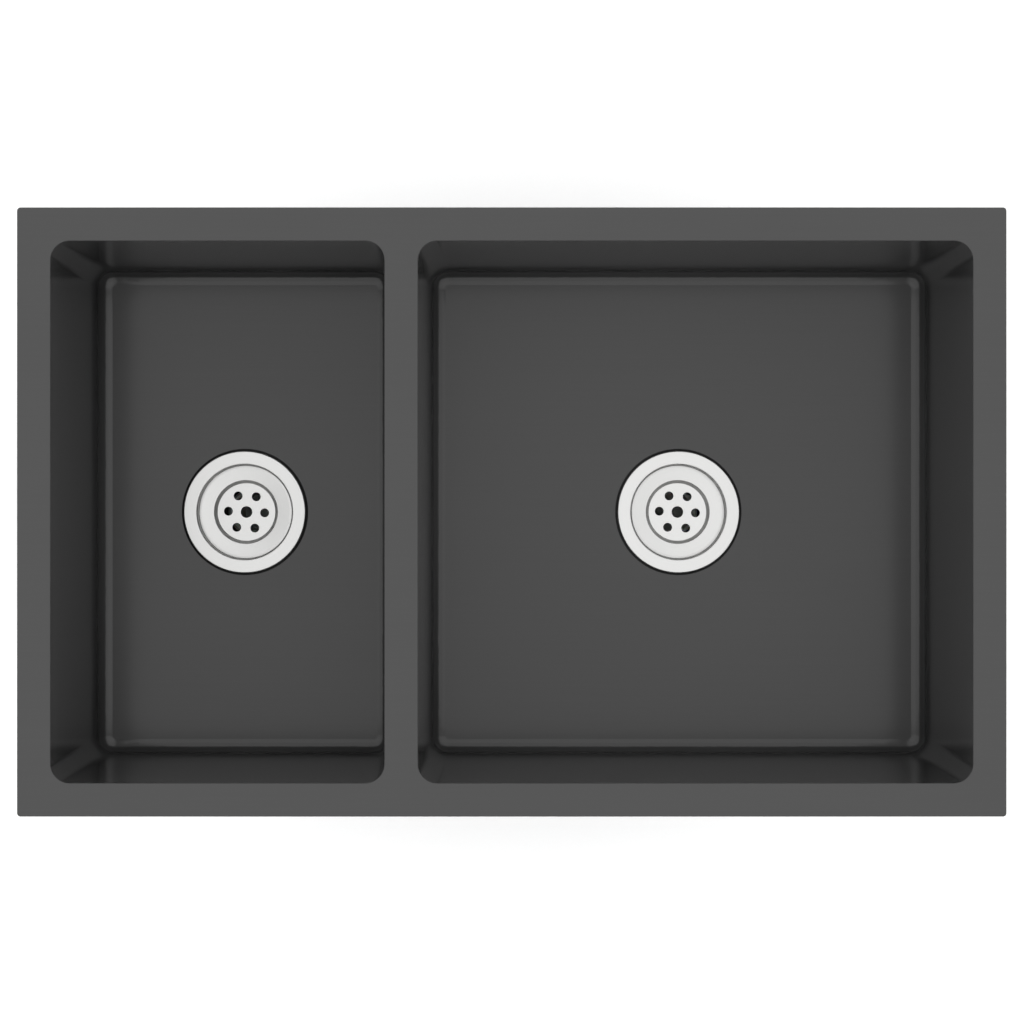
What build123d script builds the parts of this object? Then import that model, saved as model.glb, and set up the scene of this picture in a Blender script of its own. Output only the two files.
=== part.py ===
"""A top-mount double bowl kitchen sink, as an assembly of its separate pieces.

Millimetres, +Z up, +X to the right as the user stands at the sink, +Y to the back.
The origin is at the middle of the plan, on the worktop's surface: the sink hangs below
it in the cut-out, and only the seal and the deck stand above it.
"""

from build123d import *
from math import cos, hypot, radians, sin
import os

os.makedirs("parts", exist_ok=True)

# ---------------------------------------------------------------- driving dimensions

# Deck panel: a flat plate with one cut-out for each bowl
deck_length = 812.0
deck_width = 500.0
deck_thickness = 3.0
deck_corner_radius = 3.0
deck_edge_radius = 1.0
cutout_edge_radius = 0.6
rim_width = 27.5
divider_width = 27.5

# Bowls: thin sheet, welded to the underside of the deck by a narrow lip
small_bowl_length = 274.0
bowl_depth = 200.0
bowl_sheet = 1.0
bowl_corner_radius = 16.0
wall_lean = 6.0
floor_corner_radius = 14.0
floor_bend_radius = 11.5
lip_width = 4.0
lip_bend_radius = 1.5

# Foam seal between the rim and the worktop
seal_thickness = 1.5
seal_width = 10.0
seal_inset = 1.0

# Sound-deadening pads bonded to the outside of the bowls
pad_thickness = 3.0
pad_corner_radius = 8.0
pad_edge_chamfer = 0.8
pad_side_margin = 32.0
pad_top_drop = 58.0
pad_bottom_margin = 28.0
pad_floor_margin = 12.0
pad_drain_gap = 14.0

# Drain: flanged body through a hole in the floor, clamped from below
drain_hole_radius = 45.0
neck_gap = 0.8
neck_wall = 1.7
flange_width = 10.8
flange_thickness = 2.0
flange_edge_radius = 0.9
shoulder_radius = 2.0
flange_gasket_overhang = 2.1
flange_gasket_thickness = 1.5
gasket_bore_gap = 0.3
ledge_width = 2.5
chamber_depth = 15.0
threaded_length = 27.0
funnel_depth = 20.0
chamber_corner_radius = 4.0
nipple_radius = 23.9
nipple_wall = 3.5
nipple_length = 18.0

# Pieces that clamp the drain under the floor
under_gasket_radius = 55.0
under_gasket_thickness = 3.0
friction_ring_radius = 54.0
friction_ring_thickness = 1.5
lock_nut_radius = 51.0
lock_nut_height = 9.0
lock_nut_lug_count = 4
lock_nut_lug_width = 12.0
lock_nut_lug_length = 6.0
thread_gap = 0.05

# Strainer dish that lifts out of the drain body
strainer_sheet = 1.0
strainer_drop = 9.0
strainer_side_gap = 0.4
strainer_rim_width = 2.0
strainer_slope_depth = 2.0
strainer_step_radius = 28.9
strainer_step_width = 2.6
strainer_step_depth = 4.7
strainer_bend_radius = 0.6
strainer_hole_count = 6
strainer_hole_radius = 4.05
strainer_hole_circle_radius = 16.5
strainer_hole_turn = -2.6
strainer_centre_hole_radius = 5.15
seat_gap = 0.1

# Tailpiece and the coupling nut that holds it to the drain body
tail_radius = 20.0
tail_wall = 2.0
tail_length = 100.0
tail_root_length = 14.0
tail_root_thickening = 0.5
tail_collar_radius = 23.5
tail_collar_thickness = 2.5
tail_washer_thickness = 2.0
coupling_nut_radius = 28.0
coupling_nut_engagement = 9.0
coupling_nut_lip = 3.0
coupling_nut_edge_radius = 1.0
coupling_nut_rib_count = 8
coupling_nut_rib_width = 5.0
coupling_nut_rib_height = 2.5
tail_gap = 0.15

# Clips that turn out under the worktop and pull the sink down
stud_inset = 18.0
stud_radius = 2.5
stud_length = 62.0
stud_base_radius = 4.0
stud_base_thickness = 1.5
clip_end_distance = 136.0
clip_sheet = 1.5
clip_width = 14.0
clip_reach = 32.0
clip_base_drop = 44.0
clip_bend_radius = 1.0
clip_tooth_height = 6.5
clip_tooth_depth = 2.0
clip_tooth_count = 3
clip_leg_distance = 4.3
clip_leg_width = 10.0
clip_leg_top_gap = 3.0
clip_hole_gap = 0.05
washer_radius = 5.0
washer_thickness = 1.0
washer_bore_gap = 0.15
wing_nut_radius = 4.5
wing_nut_height = 6.0
wing_span_radius = 11.0
wing_drop = 3.5
wing_tip_height = 6.0
wing_root_height = 4.5
wing_thickness = 2.0
wing_tip_radius = 2.0

# ---------------------------------------------------------------- sizes that follow

bowl_width = deck_width - 2 * rim_width
large_bowl_length = deck_length - 2 * rim_width - divider_width - small_bowl_length
small_bowl_x = -deck_length / 2 + rim_width + small_bowl_length / 2
large_bowl_x = deck_length / 2 - rim_width - large_bowl_length / 2
bowls = {
    "small": (small_bowl_x, small_bowl_length),
    "large": (large_bowl_x, large_bowl_length),
}

deck_bottom = seal_thickness
deck_top = deck_bottom + deck_thickness
lip_bottom = deck_bottom - bowl_sheet
floor_top = deck_top - bowl_depth
floor_bottom = floor_top - bowl_sheet

# Drain, from the flange down
flange_bottom = floor_top + flange_gasket_thickness
flange_top = flange_bottom + flange_thickness
neck_radius = drain_hole_radius - neck_gap
flange_radius = neck_radius + flange_width
neck_bore = neck_radius - neck_wall
strainer_top = flange_top - strainer_drop
ledge_z = strainer_top - strainer_sheet - seat_gap
ledge_radius = neck_bore - ledge_width
chamber_bottom = ledge_z - chamber_depth
thread_bottom = flange_bottom - threaded_length
nipple_bore = nipple_radius - nipple_wall
nipple_top = thread_bottom - funnel_depth
nipple_bottom = nipple_top - nipple_length

under_gasket_bottom = floor_bottom - under_gasket_thickness
friction_ring_bottom = under_gasket_bottom - friction_ring_thickness
lock_nut_bottom = friction_ring_bottom - lock_nut_height

tail_top = nipple_bottom - tail_washer_thickness
collar_bottom = tail_top - tail_collar_thickness
tail_bottom = tail_top - tail_length
tail_root_bottom = tail_top - tail_root_length
tail_root_radius = tail_radius + tail_root_thickening
coupling_nut_top = nipple_bottom + coupling_nut_engagement
coupling_nut_bottom = collar_bottom - coupling_nut_lip

clip_top = -clip_base_drop
clip_bottom = clip_top - clip_sheet
washer_top = clip_bottom - seat_gap
washer_bottom = washer_top - washer_thickness
wing_nut_bottom = washer_bottom - wing_nut_height

wall_slope = wall_lean / (deck_bottom - floor_top)

# Studs: three along the front and the back, one at each end. Each entry is the clip's
# name, the stud's place, and the way the clip points while it is turned in along the rim.
stud_x = deck_length / 2 - stud_inset
stud_y = deck_width / 2 - stud_inset
outer_clip_x = deck_length / 2 - clip_end_distance
clips = {
    "front_left": (-outer_clip_x, -stud_y, 180),
    "front_middle": (0, -stud_y, 180),
    "front_right": (outer_clip_x, -stud_y, 180),
    "back_left": (-outer_clip_x, stud_y, 0),
    "back_middle": (0, stud_y, 0),
    "back_right": (outer_clip_x, stud_y, 0),
    "left": (-stud_x, 0, 90),
    "right": (stud_x, 0, -90),
}
stud_places = [(x, y) for x, y, turn in clips.values()]


def wall_lean_at(height):
    """How far a bowl's wall has come in from the cut-out's edge at a height."""
    return wall_slope * (deck_bottom - height)


def save(piece, name):
    """Label a finished piece and write it to its own file."""
    piece.part.label = name
    export_step(piece.part, f"parts/{name}.step")


def turned(x, points, radii):
    """A round piece on a vertical axis at x, from half its section as (radius, height)."""
    axis_plane = Plane(origin=(x, 0, 0), x_dir=(1, 0, 0), z_dir=(0, -1, 0))
    with BuildPart() as piece:
        with BuildSketch(axis_plane):
            with BuildLine():
                FilletPolyline(*points, radius=radii, close=True)
            make_face()
        revolve(axis=Axis((x, 0, 0), (0, 0, 1)))
    return piece


def ring(x, outer, inner, bottom, top):
    """A plain flat ring with square edges."""
    points = [(inner, bottom), (outer, bottom), (outer, top), (inner, top)]
    return turned(x, points, 0)


# ---------------------------------------------------------------- deck, bowls and seal

with BuildPart() as deck_panel:
    with BuildSketch(Plane.XY.offset(deck_bottom)):
        RectangleRounded(deck_length, deck_width, deck_corner_radius)
        for centre_x, length in bowls.values():
            with Locations((centre_x, 0)):
                RectangleRounded(length, bowl_width, bowl_corner_radius, mode=Mode.SUBTRACT)
    extrude(amount=deck_thickness)
    deck_face = deck_panel.faces().sort_by(Axis.Z)[-1]
    fillet(deck_face.outer_wire().edges(), deck_edge_radius)
    deck_face = deck_panel.faces().sort_by(Axis.Z)[-1]
    cutout_edges = [edge for wire in deck_face.inner_wires() for edge in wire.edges()]
    fillet(cutout_edges, cutout_edge_radius)
save(deck_panel, "deck_panel")

with BuildPart() as rim_seal:
    seal_length = deck_length - 2 * seal_inset
    seal_depth = deck_width - 2 * seal_inset
    with BuildSketch():
        RectangleRounded(seal_length, seal_depth, deck_corner_radius)
        Rectangle(seal_length - 2 * seal_width, seal_depth - 2 * seal_width, mode=Mode.SUBTRACT)
    extrude(amount=seal_thickness)
save(rim_seal, "rim_seal")


def make_bowl_form(centre_x, length, sheet):
    """A bowl's form with its walls leaning in, as large as its inside and a sheet all round."""
    floor_z = floor_top - sheet
    lean = wall_lean_at(floor_z)
    with BuildPart() as form:
        with BuildSketch(Plane((centre_x, 0, floor_z))):
            RectangleRounded(
                length + 2 * (sheet - lean), bowl_width + 2 * (sheet - lean), floor_corner_radius + sheet
            )
        with BuildSketch(Plane((centre_x, 0, deck_bottom))):
            RectangleRounded(length + 2 * sheet, bowl_width + 2 * sheet, bowl_corner_radius + sheet)
        loft(ruled=True)
        fillet(form.faces().sort_by(Axis.Z)[0].edges(), floor_bend_radius + sheet)
    return form.part


def make_bowl(name, centre_x, length):
    """A pressed bowl: leaning walls, a round bend into a flat floor, and a welding lip."""
    outer_length = length + 2 * bowl_sheet
    outer_width = bowl_width + 2 * bowl_sheet
    outer_corner = bowl_corner_radius + bowl_sheet
    with BuildPart() as bowl:
        add(make_bowl_form(centre_x, length, bowl_sheet))
        add(make_bowl_form(centre_x, length, 0), mode=Mode.SUBTRACT)
        with BuildSketch(Plane((centre_x, 0, lip_bottom))):
            RectangleRounded(
                outer_length + 2 * lip_width, outer_width + 2 * lip_width, outer_corner + lip_width
            )
            RectangleRounded(length, bowl_width, bowl_corner_radius, mode=Mode.SUBTRACT)
        extrude(amount=bowl_sheet)
        lip_face = bowl.faces().filter_by(Axis.Z).sort_by(Axis.Z)[-2]
        fillet(lip_face.inner_wires()[0].edges(), lip_bend_radius)
        with Locations((centre_x, 0, floor_bottom)):
            Cylinder(
                drain_hole_radius,
                bowl_sheet,
                align=(Align.CENTER, Align.CENTER, Align.MIN),
                mode=Mode.SUBTRACT,
            )
    save(bowl, name)


for size, (centre_x, length) in bowls.items():
    make_bowl(f"{size}_bowl", centre_x, length)

# ---------------------------------------------------------------- sound-deadening pads


def make_pad(name, face_plane, length, height):
    """A flat pad with round corners, on a plane whose normal points away from the bowl."""
    with BuildPart() as pad:
        with BuildSketch(face_plane):
            RectangleRounded(length, height, pad_corner_radius)
        extrude(amount=pad_thickness)
        outer_face = pad.faces().sort_by(Axis(face_plane.origin, face_plane.z_dir))[-1]
        chamfer(outer_face.edges(), pad_edge_chamfer)
    save(pad, name)


pad_top = deck_bottom - pad_top_drop
pad_low = floor_bottom + pad_bottom_margin
pad_height = pad_top - pad_low
pad_middle = (pad_top + pad_low) / 2
pad_inner_edge = under_gasket_radius + pad_drain_gap

for size, (centre_x, length) in bowls.items():
    wall_x = length / 2 + bowl_sheet - wall_lean_at(pad_middle)
    wall_y = bowl_width / 2 + bowl_sheet - wall_lean_at(pad_middle)
    wall_pads = {
        "front": ((centre_x, -wall_y, pad_middle), (1, 0, 0), (0, -1, -wall_slope), length),
        "back": ((centre_x, wall_y, pad_middle), (1, 0, 0), (0, 1, -wall_slope), length),
        "left": ((centre_x - wall_x, 0, pad_middle), (0, 1, 0), (-1, 0, -wall_slope), bowl_width),
        "right": ((centre_x + wall_x, 0, pad_middle), (0, 1, 0), (1, 0, -wall_slope), bowl_width),
    }
    for side, (middle, along, outward, wall_length) in wall_pads.items():
        wall_plane = Plane(origin=middle, x_dir=along, z_dir=outward)
        make_pad(f"{size}_bowl_pad_{side}", wall_plane, wall_length - 2 * pad_side_margin, pad_height)

    # Floor pads: one each side of the drain, along the bowl's longer way
    flat_x = length / 2 - wall_lean - floor_bend_radius - pad_floor_margin
    flat_y = bowl_width / 2 - wall_lean - floor_bend_radius - pad_floor_margin
    if length > bowl_width:
        floor_pads = {"left": (-1, 0), "right": (1, 0)}
        pad_x = flat_x - pad_inner_edge
        pad_y = 2 * flat_y
        pad_offset = pad_inner_edge + pad_x / 2
    else:
        floor_pads = {"front": (0, -1), "back": (0, 1)}
        pad_x = 2 * flat_x
        pad_y = flat_y - pad_inner_edge
        pad_offset = pad_inner_edge + pad_y / 2
    for side, (way_x, way_y) in floor_pads.items():
        middle = (centre_x + way_x * pad_offset, way_y * pad_offset, floor_bottom)
        floor_plane = Plane(origin=middle, x_dir=(1, 0, 0), z_dir=(0, 0, -1))
        make_pad(f"{size}_bowl_floor_pad_{side}", floor_plane, pad_x, pad_y)

# ---------------------------------------------------------------- drains


def make_drain_body(name, x):
    """Flange, neck, strainer ledge, funnel and outlet nipple, turned as one piece."""
    corners = [
        ((neck_bore, flange_top), shoulder_radius),
        ((flange_radius, flange_top), flange_edge_radius),
        ((flange_radius, flange_bottom), 0),
        ((neck_radius, flange_bottom), 0),
        ((neck_radius, thread_bottom), 0),
        ((nipple_radius, nipple_top), 0),
        ((nipple_radius, nipple_bottom), 0),
        ((nipple_bore, nipple_bottom), 0),
        ((nipple_bore, nipple_top), chamber_corner_radius),
        ((ledge_radius, chamber_bottom), chamber_corner_radius),
        ((ledge_radius, ledge_z), 0),
        ((neck_bore, ledge_z), 0),
    ]
    body = turned(x, [point for point, radius in corners], [radius for point, radius in corners])
    save(body, name)


def sheet_under_side(profile, sheet):
    """The corners of a thin sheet's under side, from the (radius, height) corners of its top."""
    normals = []
    for (radius, height), (next_radius, next_height) in zip(profile, profile[1:]):
        length = hypot(next_radius - radius, next_height - height)
        normals.append(((height - next_height) / length, (next_radius - radius) / length))
    under = []
    for corner, before, after in zip(profile, normals[:1] + normals, normals + normals[-1:]):
        share = sheet / (1 + before[0] * after[0] + before[1] * after[1])
        across = share * (before[0] + after[0])
        down = share * (before[1] + after[1])
        under.append((corner[0] + across, corner[1] + down))
    return under


def make_strainer(name, x):
    """A thin dish: flat rim, sloping ring, steep step and a plate with drain holes."""
    rim_outer = neck_bore - strainer_side_gap
    rim_inner = rim_outer - strainer_rim_width
    plate_radius = strainer_step_radius - strainer_step_width
    slope_z = strainer_top - strainer_slope_depth
    plate_z = slope_z - strainer_step_depth
    profile = [
        (rim_outer, strainer_top),
        (rim_inner, strainer_top),
        (strainer_step_radius, slope_z),
        (plate_radius, plate_z),
        (0, plate_z),
    ]
    lower = sheet_under_side(profile, strainer_sheet)
    bends = [0] + [strainer_bend_radius] * 3 + [0]
    dish = turned(x, profile + lower[::-1], bends + bends)
    with BuildPart() as strainer:
        add(dish.part)
        with Locations((x, 0, plate_z)):
            Cylinder(strainer_centre_hole_radius, 2 * strainer_sheet, mode=Mode.SUBTRACT)
            with PolarLocations(strainer_hole_circle_radius, strainer_hole_count, strainer_hole_turn):
                Cylinder(strainer_hole_radius, 2 * strainer_sheet, mode=Mode.SUBTRACT)
    save(strainer, name)


def make_lock_nut(name, x):
    """The big plastic nut on the neck, with lugs to turn it by."""
    nut_blank = ring(x, lock_nut_radius, neck_radius + thread_gap, lock_nut_bottom, friction_ring_bottom)
    with BuildPart() as lock_nut:
        add(nut_blank.part)
        with BuildSketch(Plane((x, 0, lock_nut_bottom))):
            with PolarLocations(lock_nut_radius, lock_nut_lug_count):
                Rectangle(2 * lock_nut_lug_length, lock_nut_lug_width)
            Circle(lock_nut_radius - lock_nut_lug_length / 2, mode=Mode.SUBTRACT)
        extrude(amount=lock_nut_height)
    save(lock_nut, name)


def make_coupling_nut(name, x):
    """The ribbed nut that pulls the tailpiece's collar up against the nipple."""
    thread_bore = nipple_radius + thread_gap
    corners = [
        ((thread_bore, coupling_nut_top), 0),
        ((coupling_nut_radius, coupling_nut_top), coupling_nut_edge_radius),
        ((coupling_nut_radius, coupling_nut_bottom), coupling_nut_edge_radius),
        ((tail_root_radius + tail_gap, coupling_nut_bottom), 0),
        ((tail_root_radius + tail_gap, collar_bottom), 0),
        ((thread_bore, collar_bottom), 0),
    ]
    nut_blank = turned(x, [point for point, radius in corners], [radius for point, radius in corners])
    with BuildPart() as coupling_nut:
        add(nut_blank.part)
        with BuildSketch(Plane((x, 0, coupling_nut_bottom + coupling_nut_edge_radius))):
            with PolarLocations(coupling_nut_radius, coupling_nut_rib_count):
                Rectangle(2 * coupling_nut_rib_height, coupling_nut_rib_width)
            Circle(coupling_nut_radius - coupling_nut_rib_height / 2, mode=Mode.SUBTRACT)
        extrude(amount=coupling_nut_top - coupling_nut_bottom - 2 * coupling_nut_edge_radius)
    save(coupling_nut, name)


def make_tailpiece(name, x):
    """A straight tube with a collar at its top and a thicker root where the nut holds it."""
    tail_bore = tail_radius - tail_wall
    points = [
        (tail_bore, tail_top),
        (tail_collar_radius, tail_top),
        (tail_collar_radius, collar_bottom),
        (tail_root_radius, collar_bottom),
        (tail_root_radius, tail_root_bottom),
        (tail_radius, tail_root_bottom),
        (tail_radius, tail_bottom),
        (tail_bore, tail_bottom),
    ]
    save(turned(x, points, 0), name)


for size, (centre_x, length) in bowls.items():
    gasket_bore = neck_radius + gasket_bore_gap
    flange_gasket_radius = flange_radius + flange_gasket_overhang
    make_drain_body(f"{size}_drain_body", centre_x)
    save(
        ring(centre_x, flange_gasket_radius, gasket_bore, floor_top, flange_bottom),
        f"{size}_flange_gasket",
    )
    save(
        ring(centre_x, under_gasket_radius, gasket_bore, under_gasket_bottom, floor_bottom),
        f"{size}_under_gasket",
    )
    save(
        ring(centre_x, friction_ring_radius, gasket_bore, friction_ring_bottom, under_gasket_bottom),
        f"{size}_friction_ring",
    )
    make_lock_nut(f"{size}_lock_nut", centre_x)
    make_strainer(f"{size}_strainer", centre_x)
    save(
        ring(centre_x, tail_collar_radius, nipple_bore, tail_top, nipple_bottom),
        f"{size}_tail_washer",
    )
    make_coupling_nut(f"{size}_coupling_nut", centre_x)
    make_tailpiece(f"{size}_tailpiece", centre_x)

# ---------------------------------------------------------------- clips and their fasteners

with BuildPart() as clip_studs:
    with Locations([(x, y, deck_bottom) for x, y in stud_places]):
        Cylinder(stud_radius, stud_length, align=(Align.CENTER, Align.CENTER, Align.MAX))
        Cylinder(stud_base_radius, stud_base_thickness, align=(Align.CENTER, Align.CENTER, Align.MAX))
save(clip_studs, "clip_studs")


def make_clip(name, x, y, turn):
    """A bent strap on a stud: a toothed end for the worktop and a leg that bears on the sink."""
    along = (cos(radians(turn)), sin(radians(turn)), 0)
    across = (sin(radians(turn)), -cos(radians(turn)), 0)
    side_plane = Plane(origin=(x, y, 0), x_dir=along, z_dir=across)
    leg_outside = clip_leg_distance + clip_sheet
    leg_top = lip_bottom - clip_leg_top_gap
    tooth_top = clip_top + clip_tooth_height
    corners = [
        ((-leg_outside, leg_top), 0),
        ((-leg_outside, clip_bottom), clip_bend_radius + clip_sheet),
        ((clip_reach, clip_bottom), clip_bend_radius + clip_sheet),
        ((clip_reach, tooth_top), 0),
        ((clip_reach - clip_sheet, tooth_top), 0),
        ((clip_reach - clip_sheet, clip_top), clip_bend_radius),
        ((-clip_leg_distance, clip_top), clip_bend_radius),
        ((-clip_leg_distance, leg_top), 0),
    ]
    with BuildPart() as clip:
        with BuildSketch(side_plane):
            with BuildLine():
                FilletPolyline(
                    *[point for point, radius in corners],
                    radius=[radius for point, radius in corners],
                    close=True,
                )
            make_face()
        extrude(amount=clip_width / 2, both=True)
        # Plan outline: full width from the stud outwards, narrower at the leg
        top_plane = Plane(origin=(x, y, clip_bottom), x_dir=along, z_dir=(0, 0, 1))
        with BuildSketch(top_plane):
            Rectangle(leg_outside, clip_leg_width, align=(Align.MAX, Align.CENTER))
            Rectangle(clip_reach, clip_width, align=(Align.MIN, Align.CENTER))
        extrude(amount=leg_top - clip_bottom, mode=Mode.INTERSECT)
        with BuildSketch(top_plane):
            Circle(stud_radius + clip_hole_gap)
        extrude(amount=clip_sheet, mode=Mode.SUBTRACT)
        # Teeth: notches cut down into the upturned end
        tooth_pitch = clip_width / clip_tooth_count
        tooth_plane = Plane(origin=(x, y, 0), x_dir=across, z_dir=(-along[0], -along[1], 0))
        with BuildSketch(tooth_plane.offset(-clip_reach)):
            for notch in range(clip_tooth_count + 1):
                notch_x = notch * tooth_pitch - clip_width / 2
                with BuildLine():
                    Polyline(
                        (notch_x - tooth_pitch / 2, tooth_top),
                        (notch_x + tooth_pitch / 2, tooth_top),
                        (notch_x, tooth_top - clip_tooth_depth),
                        close=True,
                    )
                make_face()
        extrude(amount=clip_sheet, mode=Mode.SUBTRACT)
    save(clip, name)


for place, (x, y, turn) in clips.items():
    make_clip(f"clip_{place}", x, y, turn)

with BuildPart() as clip_washers:
    with BuildSketch(Plane.XY.offset(washer_bottom)):
        with Locations(stud_places):
            Circle(washer_radius)
            Circle(stud_radius + washer_bore_gap, mode=Mode.SUBTRACT)
    extrude(amount=washer_thickness)
save(clip_washers, "clip_washers")

with BuildPart() as clip_wing_nuts:
    for x, y, turn in clips.values():
        nut_plane = Plane(
            origin=(x, y, wing_nut_bottom),
            x_dir=(cos(radians(turn)), sin(radians(turn)), 0),
            z_dir=(0, 0, 1),
        )
        with BuildSketch(nut_plane):
            Circle(wing_nut_radius)
        extrude(amount=wing_nut_height)
        wing_plane = Plane(origin=nut_plane.origin, x_dir=nut_plane.x_dir, z_dir=-nut_plane.y_dir)
        with BuildSketch(wing_plane):
            with BuildLine():
                FilletPolyline(
                    (0, 0),
                    (wing_nut_radius, 0),
                    (wing_span_radius, -wing_drop),
                    (wing_span_radius, wing_tip_height - wing_drop),
                    (0, wing_root_height),
                    radius=[0, 0, wing_tip_radius, wing_tip_radius, 0],
                    close=True,
                )
            make_face()
            mirror(about=Plane.YZ)
        extrude(amount=wing_thickness / 2, both=True)
    with BuildSketch(Plane.XY.offset(wing_nut_bottom)):
        with Locations(stud_places):
            Circle(stud_radius + thread_gap)
    extrude(amount=wing_nut_height, mode=Mode.SUBTRACT)
save(clip_wing_nuts, "clip_wing_nuts")
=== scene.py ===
# %% [markdown]
# # A double bowl kitchen sink
#
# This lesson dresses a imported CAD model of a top-mount sink. The CAD solids hold every size.
# Here they get the finishes that the real pieces have, and the pieces whose detail is too fine
# for the solids, such as threads, embossed pads and rounded nuts, are made again as meshes.
# Everything is in metres, in the frame of the model: +X to the right, +Y to the back, +Z up,
# with the worktop's surface at zero. Sizes are written in millimetres and multiplied by MM.

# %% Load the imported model
import math

import bmesh
import bpy
from mathutils import Matrix, Vector


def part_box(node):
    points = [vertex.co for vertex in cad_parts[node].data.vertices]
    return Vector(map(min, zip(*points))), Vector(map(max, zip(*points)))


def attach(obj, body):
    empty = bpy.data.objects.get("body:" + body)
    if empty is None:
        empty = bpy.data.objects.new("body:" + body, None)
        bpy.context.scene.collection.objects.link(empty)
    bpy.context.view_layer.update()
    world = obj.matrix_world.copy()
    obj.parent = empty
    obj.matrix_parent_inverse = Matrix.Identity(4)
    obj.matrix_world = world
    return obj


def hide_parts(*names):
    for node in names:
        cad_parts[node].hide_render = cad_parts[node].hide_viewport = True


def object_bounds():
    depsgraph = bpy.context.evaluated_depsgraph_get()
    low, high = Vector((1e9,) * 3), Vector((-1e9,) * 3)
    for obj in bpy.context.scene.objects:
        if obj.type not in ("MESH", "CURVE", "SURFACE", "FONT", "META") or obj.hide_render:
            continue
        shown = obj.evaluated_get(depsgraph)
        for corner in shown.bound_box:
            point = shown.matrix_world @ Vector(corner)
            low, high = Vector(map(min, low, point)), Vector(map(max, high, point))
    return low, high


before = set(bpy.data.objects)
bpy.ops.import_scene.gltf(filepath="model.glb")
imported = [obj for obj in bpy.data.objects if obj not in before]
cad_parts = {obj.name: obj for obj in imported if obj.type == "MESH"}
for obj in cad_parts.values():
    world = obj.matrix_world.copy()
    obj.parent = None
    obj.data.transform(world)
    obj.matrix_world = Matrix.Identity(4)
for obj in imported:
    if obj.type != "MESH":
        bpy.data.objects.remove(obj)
cad_low, cad_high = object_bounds()
MM = 0.001


def add_object(name, data):
    """An object with this camera, light or mesh, linked into the scene."""
    new_object = bpy.data.objects.new(name, data)
    bpy.context.scene.collection.objects.link(new_object)
    return new_object


# %% [markdown]
# ## The camera
#
# The photograph looks straight down from well above the sink, so the bowls' floors look a
# little smaller than their openings. The lens follows from how wide the deck is in the picture.

# %% Camera above the middle of the sink
IMAGE_PX = 1024
DECK_PX = 990.0
DECK_MIDDLE_PX = 511.75
CAMERA_RISE = 1930 * MM
SENSOR = 36.0

deck_low, deck_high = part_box("deck_panel")
px_per_metre = DECK_PX / (deck_high.x - deck_low.x)
camera_data = bpy.data.cameras.new("photo_camera")
camera_data.sensor_width = SENSOR
camera_data.lens = SENSOR * CAMERA_RISE * px_per_metre / IMAGE_PX
camera = add_object("photo_camera", camera_data)
camera.location = ((IMAGE_PX / 2 - DECK_MIDDLE_PX) / px_per_metre, 0, deck_high.z + CAMERA_RISE)
bpy.context.scene.camera = camera
print(f"lens {camera_data.lens:.1f} mm, camera {camera.location.z:.3f} m up")

# %% [markdown]
# ## Light
#
# A product picture on white is lit from all round. A pale dome of light does most of it, and it
# is bright enough for the floor to come out white. One large softbox overhead gives flat metal
# its sheen and the bends their bright lines.

# %% A pale dome and one softbox
DOME_STRENGTH = 1.45
SOFTBOX_SIZE = 3.6
SOFTBOX_HEIGHT = 3.2
SOFTBOX_WATTS = 12
SOFTBOX_WHITE = (1, 1, 1)

world = bpy.data.worlds.new("studio_dome")
world.use_nodes = True
background = world.node_tree.nodes["Background"]
background.inputs["Color"].default_value = (*SOFTBOX_WHITE, 1)
background.inputs["Strength"].default_value = DOME_STRENGTH
bpy.context.scene.world = world
bpy.context.scene.view_settings.view_transform = "Standard"

softbox_data = bpy.data.lights.new("softbox", "AREA")
softbox_data.shape = "SQUARE"
softbox_data.size = SOFTBOX_SIZE
softbox_data.energy = SOFTBOX_WATTS
softbox_data.color = SOFTBOX_WHITE
softbox = add_object("softbox", softbox_data)
softbox.location = (0, 0, SOFTBOX_HEIGHT)

# %% [markdown]
# ## Tools for materials
#
# Colours are written as sRGB hex values, as a paint chart gives them, and one function turns
# them to the linear numbers that a shader wants. The looks are all made of the same few parts:
# a noise as fine as what it stands for, and a tone, a roughness and a relief that follow it.
# So each of these parts has its own short function.

# %% Colour and node helpers


def linear(hex_colour):
    """An sRGB hex colour such as "3A3A3A" as linear red, green, blue and alpha."""
    channels = [int(hex_colour[i : i + 2], 16) / 255 for i in (0, 2, 4)]
    return [c / 12.92 if c <= 0.04045 else ((c + 0.055) / 1.055) ** 2.4 for c in channels] + [1.0]


def fill(tree, node, inputs):
    """Give a node's sockets their values, or links from other nodes."""
    for name, value in inputs.items():
        if isinstance(value, bpy.types.NodeSocket):
            tree.links.new(value, node.inputs[name])
        else:
            node.inputs[name].default_value = value


def add_node(tree, kind, inputs=None, **settings):
    """Add a node. settings are its properties; inputs maps a socket to a value or a link."""
    node = tree.nodes.new(kind)
    for name, value in settings.items():
        setattr(node, name, value)
    fill(tree, node, inputs or {})
    return node


def new_material(name):
    """An empty material with one principled shader: returns the material, its tree and shader."""
    material = bpy.data.materials.new(name)
    material.use_nodes = True
    return material, material.node_tree, material.node_tree.nodes["Principled BSDF"]


# The float and the colour sockets of a Mix node share their names, so they go by number
MIX_FACTOR = 0
MIX_FLOATS = (2, 3)
MIX_TONES = (6, 7)
TONE_OUT = 2


def noise(tree, vector, scale, **more):
    """A noise from 0 to 1. Its scale is one over a patch's size, or three such for x, y and z."""
    if isinstance(scale, tuple):
        vector = add_node(tree, "ShaderNodeMapping", {"Vector": vector, "Scale": scale}).outputs[0]
        scale = 1
    return add_node(tree, "ShaderNodeTexNoise", {"Vector": vector, "Scale": scale, **more}).outputs[0]


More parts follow.
